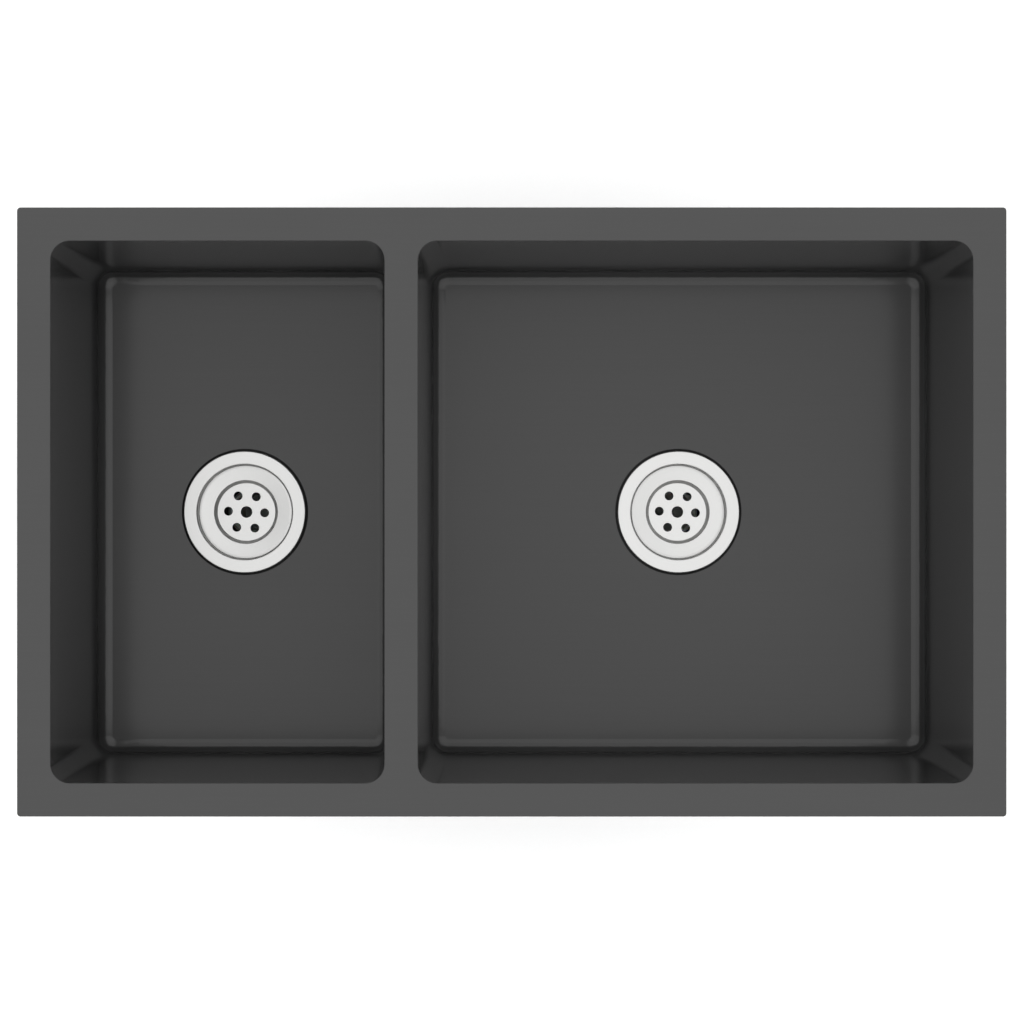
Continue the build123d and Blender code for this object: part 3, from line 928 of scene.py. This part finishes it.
def block(name, length, width, height, corner):
    """A block with rounded upright corners, its inner end on the origin, reaching along X."""
    corners = [
        (0, -width / 2, 0),
        (length, -width / 2, corner),
        (length, width / 2, corner),
        (0, width / 2, 0),
    ]
    return prism(name, corners, height)


for size, x in drain_x.items():
    lug_reach, bottom, top = round_size(f"{size}_lock_nut")
    ring = lathe(
        f"{size}_lock_nut_moulded",
        x,
        [
            (LOCK_NUT_RADIUS - GRIP_REACH, top, EDGE_ROUND),
            (LOCK_NUT_RADIUS - GRIP_REACH, bottom, EDGE_ROUND),
            (NECK_RADIUS + THREAD_PLAY, bottom, EDGE_ROUND),
            (NECK_RADIUS + THREAD_PLAY, top, EDGE_ROUND),
        ],
    )
    lug_start = LOCK_NUT_RADIUS - LUG_ROOT
    lug = block("lug", lug_reach - lug_start, LUG_WIDTH, top - bottom, LUG_CORNER)
    lug_places = round_the_axis(x, lug_start * MM, bottom * MM, LUG_COUNT)
    merge_into(ring, copies("lugs", lug_places, lug, black_plastic))
    grip_start = LOCK_NUT_RADIUS - 2 * GRIP_REACH
    grip = block("grip", 2 * GRIP_REACH, GRIP_WIDTH, top - bottom - 2 * EDGE_ROUND, EDGE_ROUND)
    grip_places = round_the_axis(x, grip_start * MM, (bottom + EDGE_ROUND) * MM, GRIP_COUNT)
    merge_into(ring, copies("grips", grip_places, grip, black_plastic))
    finish_piece(ring, black_plastic, "nut_plastic", "sink", f"{size}_lock_nut")

# %% [markdown]
# ## The coupling nuts
#
# A smaller white nut pulls the tailpiece's collar up against the outlet. It has a lip under the
# collar, and eight strong ribs to grip.

# %% Coupling nuts with ribs
RIB_COUNT = 8
RIB_WIDTH = 5.0
RIB_ROOT = 1.5
RIB_INSET = 1.0
RIB_CORNER = 1.2
COUPLING_RADIUS = 28.0
COUPLING_EDGE = 1.0
COUPLING_FOOT = 1.4
BORE_EDGE = 0.4
TAIL_ROOT_RADIUS = 20.5
TAIL_PLAY = 0.15
TAIL_EDGE = 0.5
COLLAR_BOTTOM = -263.5

for size, x in drain_x.items():
    rib_reach, bottom, top = round_size(f"{size}_coupling_nut")
    nut = lathe(
        f"{size}_coupling_nut_moulded",
        x,
        [
            (OUTLET_RADIUS + THREAD_PLAY, top, BORE_EDGE),
            (COUPLING_RADIUS, top, COUPLING_EDGE),
            (COUPLING_RADIUS, bottom, COUPLING_FOOT),
            (TAIL_ROOT_RADIUS + TAIL_PLAY, bottom, TAIL_EDGE),
            (TAIL_ROOT_RADIUS + TAIL_PLAY, COLLAR_BOTTOM, 0),
            (OUTLET_RADIUS + THREAD_PLAY, COLLAR_BOTTOM, 0),
        ],
    )
    rib_start = COUPLING_RADIUS - RIB_ROOT
    rib = block("rib", rib_reach - rib_start, RIB_WIDTH, top - bottom - 2 * RIB_INSET, RIB_CORNER)
    rib_places = round_the_axis(x, rib_start * MM, (bottom + RIB_INSET) * MM, RIB_COUNT)
    merge_into(nut, copies("ribs", rib_places, rib, white_plastic))
    finish_piece(nut, white_plastic, "tail_plastic", "sink", f"{size}_coupling_nut")

# %% [markdown]
# ## Studs and wing nuts
#
# Eight M5 studs are welded under the deck, and a wing nut on each pulls its clip up under the
# worktop. One stud gets its thread, and is then copied to the eight places. The wing nut's
# outline is a low V with rounded tips, and its hub is turned.

# %% Places of the studs
STUD_INSET = 18.0
OUTER_CLIP_X = 270.0
stud_x = deck_high.x - STUD_INSET * MM
stud_y = deck_high.y - STUD_INSET * MM
outer_x = OUTER_CLIP_X * MM
stud_places = [(x, y) for y in (-stud_y, stud_y) for x in (-outer_x, 0, outer_x)]
stud_places += [(-stud_x, 0), (stud_x, 0)]

# %% Threaded studs
STUD_RADIUS = 2.5
STUD_BASE_RADIUS = 4.0
STUD_BASE = 1.5
BASE_CHAMFER = 0.6
BASE_SLOPE = 0.8
STUD_SHANK = 4.0
STUD_TAPER = 0.6
STUD_THREAD_DEPTH = 0.42
STUD_THREAD_START = 0.7
STUD_PITCH = 0.8
STUD_STEPS = 16
stud_low, stud_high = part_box("clip_studs")
stud_top, stud_end = stud_high.z / MM, stud_low.z / MM
stud_core = STUD_RADIUS - STUD_THREAD_DEPTH
stud_corners = [
    (0, stud_top, 0),
    (STUD_BASE_RADIUS, stud_top, 0),
    (STUD_BASE_RADIUS, stud_top - STUD_BASE + BASE_CHAMFER / 2, 0),
    (STUD_BASE_RADIUS - BASE_CHAMFER, stud_top - STUD_BASE, 0),
    (STUD_RADIUS, stud_top - STUD_BASE - BASE_SLOPE, 0),
    (STUD_RADIUS, stud_top - STUD_SHANK, 0),
    (stud_core, stud_top - STUD_SHANK - STUD_TAPER, 0),
    (stud_core, stud_end + STUD_TAPER, 0),
    (stud_core - STUD_TAPER, stud_end, 0),
    (0, stud_end, 0),
]
stud = lathe("stud", 0, stud_corners, steps=STUD_STEPS * 2)
run_tree(
    stud,
    thread_tree,
    radius=STUD_RADIUS * MM,
    depth=STUD_THREAD_DEPTH * MM,
    pitch=STUD_PITCH * MM,
    turns=(stud_top - STUD_SHANK - stud_end - 3 * STUD_TAPER) / STUD_PITCH,
    steps=STUD_STEPS,
    start=(0, 0, (stud_end + STUD_THREAD_START) * MM),
    material=zinc_steel,
)
studs = copies("threaded_studs", [(x, y, 0, 0) for x, y in stud_places], stud, zinc_steel)
finish_piece(studs, zinc_steel, "clip_steel", "sink", "clip_studs")

# %% Wing nuts
WING_SPAN = 11.0
WING_THICKNESS = 2.0
WING_DROP = 3.5
WING_TIP = 2.5
WING_ROOT = 4.5
WING_FOOT = 0.4
WING_CORNER = 2.0
WING_EDGE = 0.35
HUB_RADIUS = 4.5
HUB_HEIGHT = 6.0
HUB_FOOT_EDGE = 0.6
HUB_TOP_EDGE = 0.3
HUB_STEPS = 32
HUB_OVERLAP = 0.8
QUARTER_TURN = math.radians(90)
hub_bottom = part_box("clip_wing_nuts")[1].z / MM - HUB_HEIGHT
hub = lathe(
    "wing_nut",
    0,
    [
        (STUD_RADIUS + THREAD_PLAY, hub_bottom, BORE_EDGE),
        (HUB_RADIUS, hub_bottom, HUB_FOOT_EDGE),
        (HUB_RADIUS, hub_bottom + HUB_HEIGHT, HUB_TOP_EDGE),
        (STUD_RADIUS + THREAD_PLAY, hub_bottom + HUB_HEIGHT, HUB_TOP_EDGE),
    ],
    steps=HUB_STEPS,
)
hub_side = HUB_RADIUS - HUB_OVERLAP
for side in (1, -1):
    wing_corners = [
        (side * hub_side, WING_FOOT, 0),
        (side * HUB_RADIUS, 0, 0),
        (side * WING_SPAN, -WING_DROP, WING_CORNER),
        (side * WING_SPAN, WING_TIP, WING_CORNER),
        (side * hub_side, WING_ROOT, 0),
    ]
    stand_up = Matrix.Translation((0, WING_THICKNESS / 2 * MM, hub_bottom * MM))
    stand_up = stand_up @ Matrix.Rotation(QUARTER_TURN, 4, "X")
    wing = prism("wing", wing_corners, WING_THICKNESS, stand_up)
    soften(wing, WING_EDGE)
    merge_into(hub, wing)
nut_places = [(x, y, 0, QUARTER_TURN if abs(x) == stud_x else 0) for x, y in stud_places]
wing_nuts = copies("cast_wing_nuts", nut_places, hub, zinc_steel)
finish_piece(wing_nuts, zinc_steel, "clip_steel", "sink", "clip_wing_nuts")

# %% [markdown]
# ## Sound-deadening pads
#
# Black pads are bonded to the outside of the bowls so that water doesn't drum on them. They are
# moulded with a grid of small raised squares. The embossing tree spreads the squares over a
# grid and sets them on a thin slab. Each pad is made lying flat, and then laid on the face of
# its CAD solid, whose largest side tells where the pad is and which way it faces.

# %% Tree: raised squares on a grid
EMBOSS_SIZES = {
    "Length": "Float",
    "Width": "Float",
    "Columns": "Int",
    "Rows": "Int",
    "Foot": "Float",
    "Crown": "Float",
    "Rise": "Float",
    "Level": "Vector",
}
EIGHTH_TURN = math.radians(45)
emboss_tree, given, output = new_geometry_tree("raised_squares", EMBOSS_SIZES)
spread = add_node(
    emboss_tree,
    "GeometryNodeMeshGrid",
    {"Size X": given["Length"], "Size Y": given["Width"],
     "Vertices X": given["Columns"], "Vertices Y": given["Rows"]},
)
square = add_node(
    emboss_tree,
    "GeometryNodeMeshCone",
    {"Vertices": 4, "Radius Top": given["Crown"], "Radius Bottom": given["Foot"],
     "Depth": given["Rise"]},
)
squares = add_node(
    emboss_tree,
    "GeometryNodeInstanceOnPoints",
    {"Points": spread.outputs["Mesh"], "Instance": square.outputs["Mesh"],
     "Rotation": (0, 0, EIGHTH_TURN)},
)
raised = add_node(
    emboss_tree, "GeometryNodeTransform", {"Geometry": squares.outputs[0], "Translation": given["Level"]}
)
joined = add_node(emboss_tree, "GeometryNodeJoinGeometry")
emboss_tree.links.new(given["Geometry"], joined.inputs[0])
emboss_tree.links.new(raised.outputs[0], joined.inputs[0])
end_tree(emboss_tree, given, output, joined.outputs[0])

# %% Embossed pads on the bowls
PAD_THICKNESS = 3.0
PAD_CORNER = 8.0
PAD_CHAMFER = 0.8
PAD_EDGE = 0.7
SQUARE_PITCH = 9.0
SQUARE_FOOT = 4.4
SQUARE_CROWN = 3.4
SQUARE_RISE = 0.9
PAD_MARGIN = 5.0
SAME_WAY = math.cos(math.radians(5))
outward_by_side = {
    "front": Vector((0, -1, 0)),
    "back": Vector((0, 1, 0)),
    "left": Vector((-1, 0, 0)),
    "right": Vector((1, 0, 0)),
}


def outer_face(node, outward):
    """How a pad's outer face is turned, as a matrix, with its middle and its two sizes."""
    faces = [f for f in node.data.polygons if f.normal.dot(outward) > SAME_WAY]
    normal = sum((f.normal * f.area for f in faces), Vector()).normalized()
    along = Vector((0, 1, 0)) if outward.x else Vector((1, 0, 0))
    up = normal.cross(along).normalized()
    points = [node.data.vertices[v].co for f in faces for v in f.vertices]
    spans = []
    middle = normal * (sum(p.dot(normal) for p in points) / len(points))
    for way in (along, up):
        reaches = [p.dot(way) for p in points]
        spans.append(max(reaches) - min(reaches))
        middle = middle + way * (max(reaches) + min(reaches)) / 2
    return Matrix((along, up, normal)).transposed().to_4x4(), middle, spans


pad_names = sorted(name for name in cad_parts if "_pad_" in name)
for name in pad_names:
    outward = Vector((0, 0, -1)) if "_floor_" in name else outward_by_side[name.rsplit("_", 1)[1]]
    facing_out, middle, (length, width) = outer_face(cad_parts[name], outward)
    length, width = length / MM + 2 * PAD_CHAMFER, width / MM + 2 * PAD_CHAMFER
    corners = [
        (-length / 2, -width / 2, PAD_CORNER),
        (length / 2, -width / 2, PAD_CORNER),
        (length / 2, width / 2, PAD_CORNER),
        (-length / 2, width / 2, PAD_CORNER),
    ]
    slab_thickness = PAD_THICKNESS - SQUARE_RISE
    slab = prism(f"{name}_embossed", corners, slab_thickness)
    soften(slab, PAD_EDGE)
    columns = int((length - 2 * PAD_MARGIN) / SQUARE_PITCH) + 1
    rows = int((width - 2 * PAD_MARGIN) / SQUARE_PITCH) + 1
    run_tree(
        slab,
        emboss_tree,
        length=(columns - 1) * SQUARE_PITCH * MM,
        width=(rows - 1) * SQUARE_PITCH * MM,
        columns=columns,
        rows=rows,
        foot=SQUARE_FOOT * MM,
        crown=SQUARE_CROWN * MM,
        rise=SQUARE_RISE * MM,
        level=(0, 0, slab_thickness * MM),
        material=butyl,
    )
    place = Matrix.Translation(middle - facing_out.col[2].to_3d() * PAD_THICKNESS * MM) @ facing_out
    slab.data.transform(place)
    finish_piece(slab, butyl, "deadening_pad", "sink", name)

# %% [markdown]
# ## Weld beads
#
# Under the deck, each bowl's lip is welded on all round. A weld is a row of small overlapping
# ripples, so the tree walks round a rounded rectangle and sets a flattened drop at each step.

# %% Tree: ripples round a rounded rectangle
BEAD_SIZES = {
    "Length": "Float",
    "Width": "Float",
    "Corner": "Float",
    "Step": "Float",
    "Drop Radius": "Float",
    "Middle": "Vector",
}
CORNER_STEPS = 8
DROP_SEGMENTS = 7
DROP_RINGS = 4
DROP_SHAPE = (1.6, 1.0, 0.8)
bead_tree, given, output = new_geometry_tree("weld_bead", BEAD_SIZES)
path = add_node(
    bead_tree,
    "GeometryNodeCurvePrimitiveQuadrilateral",
    {"Width": given["Length"], "Height": given["Width"]},
    mode="RECTANGLE",
)
rounded_path = add_node(
    bead_tree,
    "GeometryNodeFilletCurve",
    {"Curve": path.outputs[0], "Count": CORNER_STEPS, "Radius": given["Corner"]},
    mode="POLY",
)
walked = add_node(
    bead_tree,
    "GeometryNodeResampleCurve",
    {"Curve": rounded_path.outputs[0], "Length": given["Step"]},
    mode="LENGTH",
)
drop = add_node(
    bead_tree,
    "GeometryNodeMeshUVSphere",
    {"Segments": DROP_SEGMENTS, "Rings": DROP_RINGS, "Radius": given["Drop Radius"]},
)
tangent = add_node(bead_tree, "GeometryNodeInputTangent")
heading = add_node(bead_tree, "FunctionNodeAlignRotationToVector", {"Vector": tangent.outputs[0]}, axis="X")
ripples = add_node(
    bead_tree,
    "GeometryNodeInstanceOnPoints",
    {"Points": walked.outputs[0], "Instance": drop.outputs["Mesh"], "Rotation": heading.outputs[0],
     "Scale": DROP_SHAPE},
)
placed = add_node(
    bead_tree, "GeometryNodeTransform", {"Geometry": ripples.outputs[0], "Translation": given["Middle"]}
)
end_tree(bead_tree, given, output, placed.outputs[0])

# %% Weld beads round both lips
BEAD_STEP = 2.4
DROP_RADIUS = 0.9
BEAD_DROP = 0.35
LIP_CORNER = 21.0
TINT_PATCH = 5 * MM

weld_steel, tree, shader = new_material("heat_tinted_weld")
tint = noise(tree, add_node(tree, "ShaderNodeTexCoord").outputs["Object"], 1 / TINT_PATCH)
look = {
    "Base Color": tone(tree, tint, "4A4744", "6E6A63"),
    "Roughness": 0.42,
    "Normal": relief(tree, tint, strength=0.2, depth=0.1 * MM),
    "Metallic": 1.0,
}
fill(tree, shader, look)

for size in drain_x:
    low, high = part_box(f"{size}_bowl")
    bead = add_object(f"{size}_weld_bead", bpy.data.meshes.new(f"{size}_weld_bead"))
    run_tree(
        bead,
        bead_tree,
        length=high.x - low.x,
        width=high.y - low.y,
        corner=LIP_CORNER * MM,
        step=BEAD_STEP * MM,
        drop_radius=DROP_RADIUS * MM,
        middle=((low.x + high.x) / 2, (low.y + high.y) / 2, high.z - BEAD_DROP * MM),
        material=weld_steel,
    )
    finish_piece(bead, weld_steel, "coated_steel", "sink")
